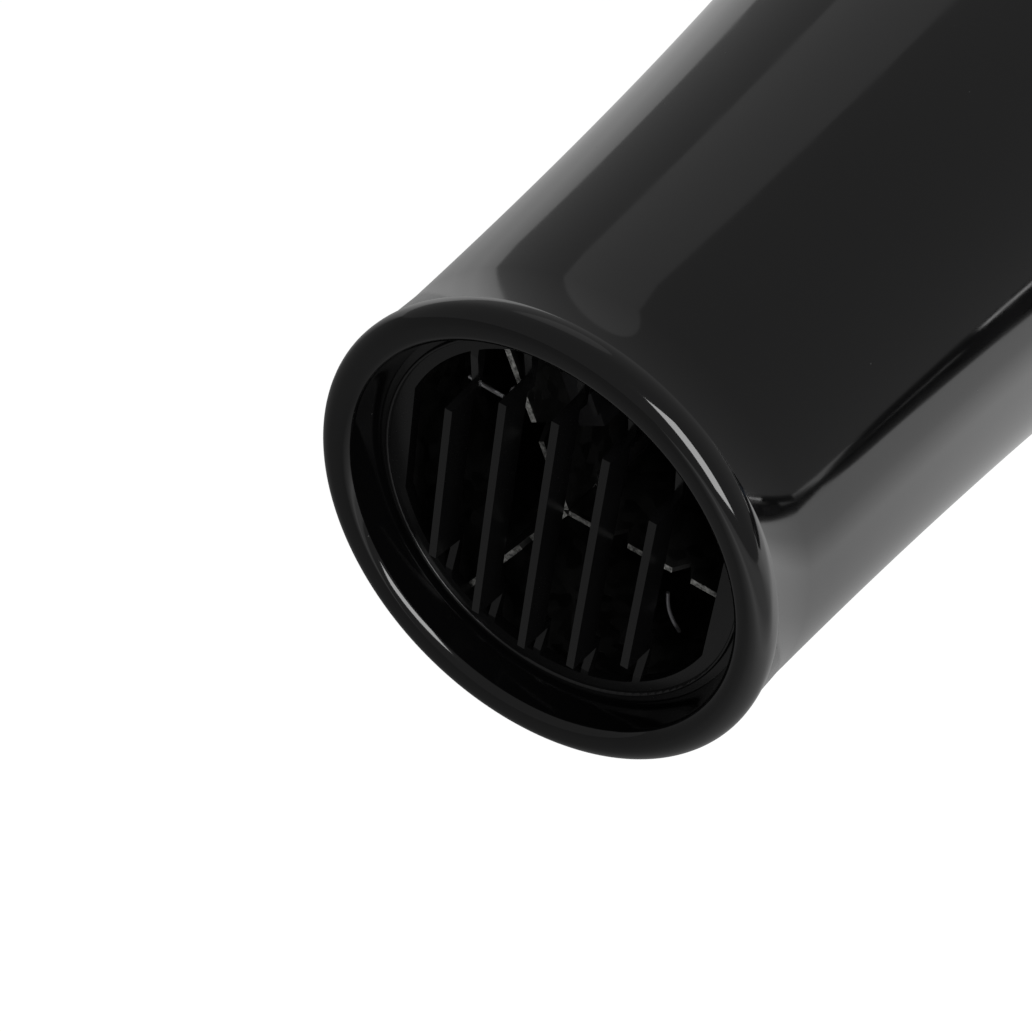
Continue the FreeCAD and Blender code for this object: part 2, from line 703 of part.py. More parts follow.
def make_fan():
    body = new_body("fan_impeller")
    hub = new_sketch(body, "hub")
    shell = size.fan_hub_radius - 1.6
    web = size.fan_back - 6.5
    nose = size.fan_back - 6
    outline(hub,
            (size.shaft_radius, size.fan_front + 3), (3.2, size.fan_front + 3), (3.2, web),
            (shell, web), (shell, size.fan_front), (size.fan_hub_radius, size.fan_front),
            (size.fan_hub_radius, nose), (6.0, size.fan_back, 13.0),
            (size.shaft_radius, size.fan_back))
    revolve(hub)
    middle = (size.fan_front + size.fan_back) / 2
    half = size.blade_thickness * 0.65
    sections = []
    for name, radius, run, rise in (("root", size.fan_hub_radius - 0.8, 6.5, 4.2),
                                    ("tip", size.fan_radius - 1.2, 4.6, 7.6)):
        section = new_sketch(body, f"blade_{name}", "YZ_Plane", radius)
        outline(section, (middle - run, -rise - half), (middle + run, rise - half),
                (middle + run, rise + half), (middle - run, -rise + half))
        sections.append(section)
    doc.recompute()
    blade = body.newObject("PartDesign::AdditiveLoft", "fan_blade")
    blade.Profile = sections[0]
    blade.Sections = [sections[1]]
    around_axis(blade, FAN_BLADES)


def make_fan_duct():
    flange = size.case_radius - size.wall - 0.4
    turned_piece("fan_duct",
                 (size.duct_bore, size.duct_front), (size.duct_radius, size.duct_front),
                 (size.duct_radius, size.duct_back - 4), (flange, size.duct_back - 4),
                 (flange, size.duct_back - 1.5), (size.duct_radius, size.duct_back - 1.5),
                 (size.duct_radius, size.duct_back),
                 (size.duct_bore, size.duct_back - 3, tangent_radius(size.duct_radius
                                                                     - size.duct_bore, Size(3))))


# ---------------------------------------------------------------- case halves and rear cover

def housing(name, inset, overrun):
    """The fan housing as a turned solid, moved in by inset and drawn out past both ends by overrun."""
    section = doc.addObject("Sketcher::SketchObject", name)
    bulge = tangent_radius(size.case_radius - size.knee_radius, size.crown_front - size.knee_depth)
    shoulder = tangent_radius(size.case_radius - size.case_rear_radius,
                              size.case_back - size.crown_back)
    seam = size.barrel_rear_radius - inset
    rear = size.case_rear_radius - inset
    front_end = [(0, size.barrel_length - overrun), (seam, size.barrel_length - overrun)]
    back_end = [(rear, size.case_back + overrun), (0, size.case_back + overrun)]
    if overrun:
        front_end.append((seam, size.barrel_length))
        back_end.insert(0, (rear, size.case_back, shoulder))
    else:
        back_end[0] += (shoulder,)
    outline(section, *front_end,
            (size.knee_radius - inset, size.knee_depth),
            (size.case_radius - inset, size.crown_front, bulge),
            (size.case_radius - inset, size.crown_back),
            *back_end)
    solid = place(doc.addObject("Part::Revolution", f"{name}_turned"))
    solid.Source = section
    solid.Axis = ALONG_Y
    solid.Angle = 360
    solid.Solid = True
    return solid


def oval(name, x, depth, half_depth, half_width):
    ring = place(doc.addObject("Part::Ellipse", name), x, as_size(depth), 0,
                 FreeCAD.Vector(1, 1, 1), 120)
    bind(ring, "MajorRadius", half_depth)
    bind(ring, "MinorRadius", half_width)
    return ring


def loft(name, rings):
    made = doc.addObject("Part::Loft", name)
    made.Sections = rings
    made.Solid = True
    return made


def grip(name, inset, overrun):
    """The handle as a smooth loft through its oval sections."""
    rings = []
    for k, (where, x, depth, half_depth, half_width) in enumerate(GRIP_SECTIONS):
        shift = -overrun if k == 0 else overrun if k == len(GRIP_SECTIONS) - 1 else 0
        rings.append(oval(f"{name}_{where}", x + shift, depth, half_depth - inset,
                          half_width - inset))
    return loft(name, rings)


def make_case():
    """Two half shells that part at Z = 0, each half a fan housing with half a handle."""
    outside = join("case_outside", housing("housing_outside", 0, 0), grip("grip_outside", 0, 0))
    inside = join("case_inside", housing("housing_inside", size.wall, 1),
                  grip("grip_inside", size.wall, 1))
    slot_depth = (135.0, 144.0)
    half = size.bezel_half_width + 0.2
    window = join("bezel_window",
                  box("window_middle", (size.bezel_near, size.bezel_far), slot_depth,
                      (-half, half)),
                  *[cylinder(f"window_{end}", half, slot_depth[1] - slot_depth[0], at,
                             as_size(slot_depth[0]), 0, ALONG_Y)
                    for end, at in (("near", size.bezel_near), ("far", size.bezel_far))])
    shell = cut("case_shell", outside, inside, window)
    bosses = (("near", size.near_boss_at, size.near_boss_depth, 15.8),
              ("far", size.far_boss_at, size.far_boss_depth, 13.4))
    for label, sign in (("upper_case_half", 1), ("lower_case_half", -1)):
        room = box(f"{label}_room", (-60, 200), (100, 220), (0, 60) if sign > 0 else (-60, 0))
        half_shell = doc.addObject("Part::Common", f"{label}_shell")
        half_shell.Base = shell
        half_shell.Tool = room
        posts = [cylinder(f"{label}_{name}_post", size.boss_radius, reach, x, depth, 0,
                          ALONG_Z * sign) for name, x, depth, reach in bosses]
        solid = join(f"{label}_solid", half_shell, *posts)
        holes = []
        for name, x, depth, reach in bosses:
            if sign > 0:
                holes.append(cylinder(f"{label}_{name}_pilot", size.screw_radius, 8, x, depth, 0,
                                      ALONG_Z))
            else:
                holes.append(cylinder(f"{label}_{name}_hole", size.screw_radius + 0.1, 30,
                                      x, depth, 0, -ALONG_Z))
                holes.append(cylinder(f"{label}_{name}_recess", size.screw_head_radius + 0.2, 30,
                                      x, depth, -SCREW_SEAT, -ALONG_Z))
        name_piece(cut(label, solid, *holes), label)
    screws = []
    for name, x, depth, reach in bosses:
        screws.append(join(
            f"case_screw_{name}",
            cylinder(f"{name}_shank", size.screw_radius, SCREW_SEAT + 7, x, depth, -SCREW_SEAT,
                     ALONG_Z),
            cut(f"{name}_slotted_head",
                cylinder(f"{name}_head", size.screw_head_radius, 2, x, depth, -SCREW_SEAT - 2,
                         ALONG_Z),
                box(f"{name}_slot_long", (x - 2, x + 2), (depth - 0.4, depth + 0.4),
                    (-SCREW_SEAT - 2, -SCREW_SEAT - 1)),
                box(f"{name}_slot_cross", (x - 0.4, x + 0.4), (depth - 2, depth + 2),
                    (-SCREW_SEAT - 2, -SCREW_SEAT - 1)))))
    group("case_screws", *screws)


def make_rear_cover():
    """The cover that turns off to clean the filter: a spigot, a rounded shoulder and a slotted face."""
    body = new_body("rear_cover")
    section = new_sketch(body, "section")
    rim = size.case_back + 0.4
    shoulder = rim + 1
    outside = size.case_rear_radius - 0.1
    inside = size.cover_spigot_radius - size.cover_wall
    face_back = size.cover_back - size.cover_wall
    flat = size.cover_flat_radius
    outline(section,
            (size.cover_spigot_radius, size.cover_spigot_front), (size.cover_spigot_radius, rim),
            (outside, rim), (outside, shoulder),
            (flat, size.cover_back, tangent_radius(outside - flat, size.cover_back - shoulder)),
            (0, size.cover_back), (0, face_back), (flat, face_back),
            (inside, face_back - (inside - flat), flat - inside),
            (inside, size.cover_spigot_front))
    revolve(section)
    hub = new_sketch(body, "hub", "XZ_Plane", face_back - 2.4)
    circle(hub, 4.5)
    deepen(hub, 2.6)
    rib = new_sketch(body, "rib", "XZ_Plane", face_back - 2.4)
    half = size.rib_width / 2
    block(rib, 3.5, -half, flat + 1.5, half)
    around_axis(deepen(rib, 2.6), COVER_RIBS)
    rings = new_sketch(body, "rings", "XZ_Plane", size.cover_back + 0.1)
    for k in range(COVER_RING_SLOTS):
        circle(rings, 8.0 + 5.6 * k)
        circle(rings, 11.2 + 5.6 * k)
    extrude(rings, size.cover_wall + 0.1, cut=True, backwards=True)
    side = new_sketch(body, "side_slot", "XZ_Plane", size.cover_back + 0.5)
    block(side, flat + 2.6, -1.0, outside + 1, 1.0)
    around_axis(extrude(side, 6.5, cut=True, backwards=True), COVER_SIDE_SLOTS)


def make_filter():
    front = size.cover_back - 7.6
    turned_piece("filter_frame", (32.4, front), (35.6, front), (35.6, front + 1.2),
                 (32.4, front + 1.2))
    turned_piece("filter_mesh", (0, front + 1.3), (35.0, front + 1.3), (35.0, front + 1.7),
                 (0, front + 1.7))


# ---------------------------------------------------------------- switches and button

def make_switch_bezel():
    body = new_body("switch_bezel")
    plate = new_sketch(body, "plate", "XZ_Plane", size.bezel_face)
    slot(plate, size.bezel_near, size.bezel_far, size.bezel_half_width)
    deepen(plate, size.bezel_back - size.bezel_face)
    windows = new_sketch(body, "windows", "XZ_Plane", size.bezel_face)
    circle(windows, size.button_radius + 0.4, size.cool_shot_at)
    half = size.rocker_half_width + 0.3
    reach = size.rocker_half_length + 1.2
    for at in (size.speed_at, size.heat_at):
        block(windows, at - reach, -half, at + reach, half)
    deepen(windows, 5, cut=True)


def make_switch_block():
    """The double switch behind the rockers, with a cell and two pivot bores for each of them."""
    body = new_body("switch_block")
    front = size.bezel_back + 0.3
    base = new_sketch(body, "base", "XZ_Plane", front)
    half = size.rocker_half_width + 2.0
    block(base, size.speed_at - 13, -half, size.heat_at + 13, half)
    deepen(base, 13)
    cells = new_sketch(body, "cells", "XZ_Plane", front)
    inside = size.rocker_half_width + 0.3
    reach = size.rocker_half_length + 1.2
    for at in (size.speed_at, size.heat_at):
        block(cells, at - reach, -inside, at + reach, inside)
    deepen(cells, 8, cut=True)
    pivots = new_sketch(body, "pivots")
    for at in (size.speed_at, size.heat_at):
        circle(pivots, size.pivot_radius + size.running_gap, at, size.rocker_pivot)
    extrude(pivots, 30, cut=True, both_ways=True)


def make_rocker(label, at):
    """A rocker whose own origin is its pivot, stored pressed down at its near end."""
    body = new_body(label, x=at, depth=size.rocker_pivot, axis=ALONG_Z,
                    turn=-size.rocker_tilt.number)
    key = new_sketch(body, "key")
    reach = size.rocker_half_length
    outline(key, (-reach, -5.9), (0, -4.3), (reach, -5.9), (reach, -2.8), (7.0, 0.4), (2.5, 3.0),
            (-2.5, 3.0), (-7.0, 0.4), (-reach, -2.8))
    extrude(key, 2 * size.rocker_half_width, both_ways=True)
    pivot = new_sketch(body, "pivot")
    circle(pivot, size.pivot_radius)
    extrude(pivot, 2 * (size.rocker_half_width + 1.8), both_ways=True)


def make_cool_shot():
    flange = size.bezel_back + 0.4
    back = flange + 1.2
    crown = size.bezel_face - 2.4
    stem_end = back + 3.8
    turned_piece("cool_shot_button",
                 (0, crown), (2.6, crown + 0.3, tangent_radius(Size(0.3), Size(2.6))),
                 (size.button_radius, crown + 1.6, 2.2),
                 (size.button_radius, flange), (size.button_flange_radius, flange),
                 (size.button_flange_radius, back), (2.0, back), (2.0, stem_end), (0, stem_end),
                 x=size.cool_shot_at)
    switch_front = stem_end + 2.9
    name_piece(box("cool_shot_switch", (size.cool_shot_at - 5.5, size.cool_shot_at + 5.5),
                   (switch_front, switch_front + 7), (-3.2, 3.2)), "cool_shot_switch")
    spring_radius = 3.4
    wire = 0.25
    start = back + wire + 0.1
    length = switch_front - start - wire - 0.1
    helix = place(doc.addObject("Part::Helix", "spring_line"), size.cool_shot_at, start, 0,
                  ALONG_X, -90)
    bind(helix, "Radius", spring_radius)
    bind(helix, "Height", length)
    bind(helix, "Pitch", length / 4.5)
    ring = place(doc.addObject("Part::Circle", "spring_section"),
                 size.cool_shot_at + spring_radius, start, 0)
    bind(ring, "Radius", wire)
    spring = doc.addObject("Part::Sweep", "cool_shot_spring")
    spring.Sections = [ring]
    spring.Spine = (helix, ["Edge1"])
    spring.Solid = True
    spring.Frenet = True
    name_piece(spring, "cool_shot_spring")


# ---------------------------------------------------------------- end of the handle

def make_end_cap():
    """The plug that closes the handle, with the gland's hole and two lugs for the hang loop."""
    where, x, depth, half_depth, half_width = GRIP_SECTIONS[-1]
    face = x + 0.2
    inset = 0.3 + size.wall.number
    spigot = loft("cap_spigot", [
        oval("cap_spigot_front", size.cap_front, depth, half_depth - inset, half_width - inset),
        oval("cap_spigot_back", face + 1, depth, half_depth - inset, half_width - inset)])
    dome = loft("cap_dome", [
        oval("cap_rim", face, depth, half_depth, half_width),
        oval("cap_edge", face + 2.2, depth, half_depth - 0.3, half_width - 0.3),
        oval("cap_face", size.cap_back, depth, half_depth - 1.6, half_width - 1.6)])
    lugs = []
    half_gap = size.loop_thickness / 2 + 0.3
    lug = 2.5
    for side, low in (("upper", half_gap), ("lower", -half_gap - lug)):
        lugs.append(cylinder(f"lug_{side}_eye", 3.0, lug, size.loop_pivot, size.loop_at, low,
                             ALONG_Z))
        lugs.append(box(f"lug_{side}_root", (size.cap_back - 1.5, size.loop_pivot),
                        (size.loop_at - 3.0, size.loop_at + 3.0), (low, low + lug)))
    solid = join("cap_solid", spigot, dome, *lugs)
    gland_hole = cylinder("cap_gland_hole", size.gland_radius + 0.1, 30, 155, size.gland_at, 0,
                          ALONG_X)
    pin_hole = cylinder("cap_pin_hole", size.pin_radius, 20, size.loop_pivot, size.loop_at, -10,
                        ALONG_Z)
    name_piece(cut("handle_end_cap", solid, gland_hole, pin_hole), "handle_end_cap")


def make_hang_loop():
    body = new_body("hang_loop", x=size.loop_pivot, depth=size.loop_at)
    ring = new_sketch(body, "ring")
    circle(ring, size.loop_radius, size.loop_reach)
    extrude(ring, size.loop_thickness, both_ways=True)
    neck = new_sketch(body, "neck")
    block(neck, 0, -2.2, size.loop_reach - 6, 2.2)
    extrude(neck, size.loop_thickness, both_ways=True)
    barrel = new_sketch(body, "barrel")
    circle(barrel, 2.7)
    extrude(barrel, size.loop_thickness, both_ways=True)
    holes = new_sketch(body, "holes")
    circle(holes, size.eye_radius, size.loop_reach)
    circle(holes, size.pin_radius + size.running_gap)
    extrude(holes, 20, cut=True, both_ways=True)
    reach = size.loop_thickness / 2 + 3.0
    name_piece(cylinder("loop_pin", size.pin_radius, 2 * reach, size.loop_pivot, size.loop_at,
                        -reach, ALONG_Z), "loop_pin")


def make_cord_inlet():
    """The gland that a cord enters through, and the saddle that would clamp it inside the handle."""
    face = size.cap_back
    turned_piece("cord_gland",
                 (size.gland_bore, 163), (size.gland_radius, 163), (size.gland_radius, face + 0.1),
                 (6.8, face + 0.1), (6.8, face + 1.3), (5.6, face + 3.4),
                 (size.gland_bore, face + 3.4),
                 depth=size.gland_at, axis=ALONG_Z, turn=-90)
    middle = size.gland_at
    saddle = box("saddle_bar", (153, 161), (middle - 8, middle + 8), (0.8, 5.6))
    groove = cylinder("saddle_groove", size.gland_bore, 20, 147, middle, 0, ALONG_X)
    screws = []
    holes = []
    for side, offset in (("front", -6.0), ("back", 6.0)):
        at = (157, middle + offset)
        holes.append(cylinder(f"saddle_{side}_hole", 1.2, 20, *at, -5, ALONG_Z))
        screws.append(join(f"clamp_screw_{side}",
                           cylinder(f"clamp_{side}_shank", 1.1, 10, *at, -4.3, ALONG_Z),
                           cylinder(f"clamp_{side}_head", 2.1, 1.4, *at, 5.65, ALONG_Z)))
    name_piece(cut("cord_clamp", saddle, groove, *holes), "cord_clamp")
    group("clamp_screws", *screws)
    name_piece(box("suppression_capacitor", (84, 99), (157, 167), (-4, 4)),
               "suppression_capacitor")


# ---------------------------------------------------------------- build, check and write

make_barrel_shell()
make_outlet_grille()
make_heater()
make_motor()
make_motor_mount()
make_fan()
make_fan_duct()
make_case()
make_rear_cover()
make_filter()
make_switch_bezel()
make_switch_block()
make_rocker("speed_rocker", size.speed_at)
make_rocker("heat_rocker", size.heat_at)
make_cool_shot()
make_end_cap()
make_hang_loop()
make_cord_inlet()
doc.recompute()

for thing in doc.Objects:
    if {"Invalid", "Error"} & set(thing.State):
        raise RuntimeError(f"{thing.Label} did not compute: {thing.State}")
for piece in pieces:
    if piece.Shape.isNull() or not piece.Shape.isValid() or piece.Shape.Volume <= 0:
        raise RuntimeError(f"{piece.Label} has no valid solid")
for piece in pieces:
    piece.Shape.exportStep(f"parts/{piece.Label}.step")
    print(f"{piece.Label}: {len(piece.Shape.Solids)} solid(s), {piece.Shape.Volume:.1f} mm3")
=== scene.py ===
"""Looks of the hair dryer: finishes, fine pieces, studio and camera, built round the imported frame."""
import math

import bmesh
import bpy
from mathutils import Matrix, Vector


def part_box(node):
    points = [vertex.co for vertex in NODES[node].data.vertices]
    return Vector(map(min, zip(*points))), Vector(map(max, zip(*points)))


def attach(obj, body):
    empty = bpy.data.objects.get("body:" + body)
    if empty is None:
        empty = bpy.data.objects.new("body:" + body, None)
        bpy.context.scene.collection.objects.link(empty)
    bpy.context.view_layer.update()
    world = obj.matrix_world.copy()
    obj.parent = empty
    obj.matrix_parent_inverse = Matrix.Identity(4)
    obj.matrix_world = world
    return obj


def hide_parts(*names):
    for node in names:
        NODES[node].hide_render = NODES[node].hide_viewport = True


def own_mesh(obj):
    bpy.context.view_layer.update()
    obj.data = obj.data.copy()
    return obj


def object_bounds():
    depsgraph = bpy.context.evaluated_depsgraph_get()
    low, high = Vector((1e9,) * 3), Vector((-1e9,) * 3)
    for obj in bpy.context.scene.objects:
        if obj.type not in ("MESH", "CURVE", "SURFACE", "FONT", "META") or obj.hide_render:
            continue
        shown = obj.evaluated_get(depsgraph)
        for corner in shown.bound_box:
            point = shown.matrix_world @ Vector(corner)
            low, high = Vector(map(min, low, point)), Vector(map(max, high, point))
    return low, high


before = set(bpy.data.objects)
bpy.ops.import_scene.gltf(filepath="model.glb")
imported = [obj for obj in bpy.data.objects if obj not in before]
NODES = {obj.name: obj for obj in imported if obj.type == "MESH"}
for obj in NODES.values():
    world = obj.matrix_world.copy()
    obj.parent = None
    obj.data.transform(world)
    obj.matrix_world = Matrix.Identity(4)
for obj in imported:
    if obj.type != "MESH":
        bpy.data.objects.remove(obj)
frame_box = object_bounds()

MM = 0.001
SETBACK = 6.2  # millimetres from the front of the lip to the origin, as in the part
FLOOR = frame_box[0][2]
MICA_FRONT = 6.5
TAU = 2 * math.pi


def at(depth):
    """The place along the barrel of a depth in millimetres behind the front of the lip."""
    return (depth - SETBACK) * MM


# ---------------------------------------------------------------- writing finishes

class Value:
    """A socket in a node tree, written like a number: an expression on it adds its Math nodes."""

    def __init__(self, graph, socket):
        self.graph = graph
        self.socket = socket

    def maths(self, operation, first, second):
        return self.graph.maths(operation, first, second)

    def __add__(self, other):
        return self.maths("ADD", self, other)

    def __sub__(self, other):
        return self.maths("SUBTRACT", self, other)

    def __rsub__(self, other):
        return self.maths("SUBTRACT", other, self)

    def __mul__(self, other):
        return self.maths("MULTIPLY", self, other)

    def __gt__(self, other):
        return self.maths("GREATER_THAN", self, other)

    def __lt__(self, other):
        return self.maths("LESS_THAN", self, other)

    __radd__ = __add__
    __rmul__ = __mul__


class Graph:
    """A node tree and the one method that adds nodes to it."""

    def node(self, kind, settings=None, inputs=None, out=0):
        """Adds a node, makes its settings, then sets or links its inputs. Gives one output."""
        made = self.tree.nodes.new(kind if "Node" in kind else "ShaderNode" + kind)
        for name, value in (settings or {}).items():
            if name == "stops":
                while len(made.color_ramp.elements) < len(value):
                    made.color_ramp.elements.new(1)
                for stop, (place, shade) in zip(made.color_ramp.elements, value):
                    stop.position = place
                    stop.color = (shade, shade, shade, 1)
            else:
                setattr(made, name, value)
        for key, value in (inputs or {}).items():
            if isinstance(value, Value):
                self.tree.links.new(value.socket, made.inputs[key])
            else:
                made.inputs[key].default_value = value
        return Value(self, made.outputs[out])

    def maths(self, operation, first, second=0.0):
        return self.node("Math", {"operation": operation}, {0: first, 1: second})

    def part_of(self, vector, axis):
        """One of the three numbers of a vector."""
        return self.node("SeparateXYZ", None, {0: vector}, axis)


class Finish(Graph):
    """A material, its Principled shader and the nodes that vary it."""

    def __init__(self, name, **constants):
        self.material = bpy.data.materials.new(name)
        self.material.use_nodes = True
        self.tree = self.material.node_tree
        self.shader = self.tree.nodes["Principled BSDF"]
        for socket, value in constants.items():
            self.shader.inputs[socket.replace("_", " ")].default_value = value
        self.place = self.node("TexCoord", out="Object")

    def noise(self, size, detail=2.0, roughness=0.5, place=None, stretch=(1, 1, 1)):
        """Soft noise from 0 to 1 whose blotches are about size millimetres across."""
        place = place or self.place
        if stretch != (1, 1, 1):
            place = self.node("Mapping", None, {"Vector": place, "Scale": stretch})
        return self.node("TexNoise", None, {"Vector": place, "Scale": 1 / (size * MM),
                                            "Detail": detail, "Roughness": roughness})

    def cells(self, size, feature="F1", out="Distance"):
        return self.node("TexVoronoi", {"feature": feature},
                         {"Vector": self.place, "Scale": 1 / (size * MM)}, out)

    def ramp(self, value, *stops):
        return self.node("ValToRGB", {"stops": stops}, {"Fac": value})

    def tint(self, mask, low, high):
        """A colour between low and high. Either may itself be a colour from the tree."""
        def colour(c):
            return c if isinstance(c, Value) else (*c, 1)
        return self.node("Mix", {"data_type": "RGBA"},
                         {"Factor": mask, 6: colour(low), 7: colour(high)}, 2)

    def grey(self, value):
        return self.node("CombineColor", None, {k: value for k in range(3)})

    def bump(self, height, depth, strength=1.0):
        """Normals of a relief whose height runs from 0 to 1 over depth millimetres."""
        return self.node("Bump", None, {"Height": height, "Distance": depth * MM,
                                        "Strength": strength})

    def feed(self, **links):
        for socket, value in links.items():
            self.tree.links.new(value.socket, self.shader.inputs[socket.replace("_", " ")])
        return self.material


def gloss_shell():
    """Polished black moulding: slight flow waves, hairline scratches, smudges and a little dust."""
    f = Finish("gloss_shell", IOR=1.5, Base_Color=(0.0015, 0.0015, 0.0016, 1))
    smudge = f.ramp(f.noise(14, 4, 0.6), (0.42, 0), (0.72, 1))
    scratch = f.ramp(f.noise(1.6, 3, 0.55, stretch=(1, 0.03, 1)), (0.66, 0), (0.7, 1))
    dust = (f.cells(2.6) < 0.035) * f.ramp(f.noise(9), (0.5, 0), (0.6, 1))
    waves = f.noise(9, 1) * 0.8 + f.noise(1.1, 2) * 0.03
    return f.feed(
        Base_Color=f.tint(dust, (0.0015, 0.0015, 0.0016), (0.02, 0.02, 0.02)),
        Roughness=0.07 + smudge * 0.05 + scratch * 0.05 + dust * 0.3,
        Normal=f.bump(waves + scratch * 0.002, 0.012))


def satin_black():
    """Semi-gloss black moulding with a fine even grain, shinier in patches."""
    f = Finish("satin_black", IOR=1.48, Base_Color=(0.002, 0.002, 0.0021, 1))
    grain = f.noise(0.22, 3, 0.6)
    worn = f.ramp(f.noise(11, 3), (0.45, 0), (0.7, 1))
    return f.feed(
        Base_Color=f.tint(grain, (0.0015, 0.0015, 0.0016), (0.0032, 0.0032, 0.0033)),
        Roughness=0.22 + grain * 0.08 - worn * 0.04,
        Normal=f.bump(grain, 0.004))


def moulded(name, low, high, rough=0.45, fibres=0.5):
    """A technical moulding, mottled, with glass-fibre streaks showing at its surface."""
    f = Finish(name, IOR=1.5)
    mottle = f.noise(3.5, 4, 0.6)
    streaks = f.ramp(f.noise(0.7, 2, stretch=(1, 0.12, 1)), (0.58, 0), (0.7, 1))
    grain = f.noise(0.3, 2)
    return f.feed(
        Base_Color=f.tint(mottle + streaks * fibres * 0.3, low, high),
        Roughness=rough + mottle * 0.1 + streaks * 0.08,
        Normal=f.bump(grain + streaks * fibres, 0.012))


def mica():
    """Dark mica board: flakes pressed in layers, scorched in patches, pale at its front edge as silvery
    sheared mica and as a painted highlight along that edge.
    """
    f = Finish("mica", IOR=1.5)
    flake = f.cells(1.4, out="Color")
    tone = f.node("SeparateColor", None, {"Color": flake})
    layers = f.noise(1.2, 4, 0.65, stretch=(0.4, 1.6, 0.4))
    scorch = f.ramp(f.noise(12, 3), (0.48, 0), (0.75, 1))
    face = f.tint(tone * 0.6 + layers * 0.4, (0.002, 0.002, 0.002), (0.011, 0.011, 0.0105))
    face = f.tint(scorch * 0.6, face, (0.0015, 0.0014, 0.0013))
    depth = f.part_of(f.place, 1)
    # The front edge is painted pale: partly the silver of sheared mica, partly a painted highlight
    # where light catches the edge.
    edge_patches = f.ramp(f.noise(0.4, 4, 0.75), (0.38, 0.08), (0.66, 1))
    silver_edge_and_highlight = (depth < at(MICA_FRONT + 0.06)) * edge_patches
    return f.feed(
        Base_Color=f.tint(silver_edge_and_highlight, face, (0.42, 0.42, 0.4)),
        Roughness=0.34 + tone * 0.25,
        Normal=f.bump(tone * 0.5 + layers, 0.03))


def metal(name, colour, rough, brushed=(1, 1, 1), tarnish=(0.25, 0.2, 0.15), amount=0.25):
    """A metal with drawing marks along its length and patches of tarnish."""
    f = Finish(name, Metallic=1.0)
    marks = f.noise(0.25, 3, 0.6, stretch=brushed)
    stain = f.ramp(f.noise(4, 4, 0.6), (0.45, 0), (0.8, 1))
    return f.feed(
        Base_Color=f.tint(stain * amount, colour, tarnish),
        Roughness=rough + marks * 0.12 + stain * 0.15,
        Normal=f.bump(marks, 0.008))


def rubbery(name, low, high, rough=0.6, grain_size=0.35, depth=0.02):
    """A soft matt moulding with a leathery micro grain and grey bloom."""
    f = Finish(name, IOR=1.5)
    grain = f.noise(grain_size, 4, 0.65)
    bloom = f.ramp(f.noise(7, 4, 0.6), (0.4, 0), (0.8, 1))
    return f.feed(
        Base_Color=f.tint(bloom * 0.6 + grain * 0.4, low, high),
        Roughness=rough + bloom * 0.12,
        Normal=f.bump(grain, depth))


def circuit_board():
    """Green laminate with the weave of its glass cloth and copper tracks under the lacquer."""
    f = Finish("circuit_board", IOR=1.55)
    weave = (f.maths("SINE", f.part_of(f.place, 0) * 6000)
             * f.maths("SINE", f.part_of(f.place, 2) * 6000))
    track = f.ramp(f.cells(4.5, "DISTANCE_TO_EDGE"), (0.06, 1), (0.09, 0))
    return f.feed(
        Base_Color=f.tint(track, (0.02, 0.09, 0.035), (0.06, 0.17, 0.05)),
        Roughness=0.28 + weave * 0.05,
        Normal=f.bump(weave * 0.15 + track, 0.04))


def armature():
    """Lacquered copper windings between the stacked steel of the armature."""
    f = Finish("armature", Metallic=1.0)
    stack = f.maths("SINE", f.part_of(f.place, 1) * 12000)
    copper = f.ramp(f.noise(2.5, 2), (0.45, 0), (0.55, 1))
    return f.feed(
        Base_Color=f.tint(copper, (0.3, 0.3, 0.31), (0.55, 0.23, 0.1)),
        Roughness=0.3 + stack * 0.08,
        Normal=f.bump(stack, 0.02))


FINISHES = {
    "gloss_shell": gloss_shell(),
    "satin_black": satin_black(),
    "heat_plastic": moulded("heat_plastic", (0.012, 0.009, 0.008), (0.03, 0.024, 0.02)),
    "fan_plastic": moulded("fan_plastic", (0.05, 0.052, 0.055), (0.085, 0.088, 0.09), 0.4),
    "mica": mica(),
    "heater_wire": metal("heater_wire", (0.42, 0.38, 0.35), 0.35, tarnish=(0.12, 0.1, 0.12),
                         amount=0.8),
    "steel": metal("steel", (0.52, 0.52, 0.53), 0.28, brushed=(1, 0.06, 1)),
    "screw_steel": metal("screw_steel", (0.2, 0.2, 0.21), 0.34, tarnish=(0.08, 0.07, 0.06)),
    "brass": metal("brass", (0.12, 0.085, 0.045), 0.4, tarnish=(0.05, 0.035, 0.02), amount=0.7),
    "bronze": metal("bronze", (0.42, 0.27, 0.13), 0.4, tarnish=(0.16, 0.1, 0.05), amount=0.5),
    "armature": armature(),
    "ferrite": rubbery("ferrite", (0.03, 0.03, 0.032), (0.06, 0.06, 0.063), 0.55, 0.2),
    "circuit_board": circuit_board(),
    "component": rubbery("component", (0.012, 0.012, 0.013), (0.025, 0.025, 0.026), 0.4, 0.15),
    "switch_body": rubbery("switch_body", (0.02, 0.02, 0.021), (0.04, 0.04, 0.041), 0.45, 0.2),
    "capacitor": rubbery("capacitor", (0.42, 0.3, 0.04), (0.55, 0.42, 0.08), 0.3, 0.5, 0.01),
    "key": rubbery("key", (0.016, 0.016, 0.017), (0.026, 0.026, 0.027), 0.42, 0.2, 0.01),
    "cool_key": rubbery("cool_key", (0.03, 0.08, 0.16), (0.045, 0.11, 0.2), 0.36, 0.2, 0.01),
    "rubber": rubbery("rubber", (0.012, 0.012, 0.012), (0.026, 0.026, 0.026), 0.62),
}

# ---------------------------------------------------------------- making pieces

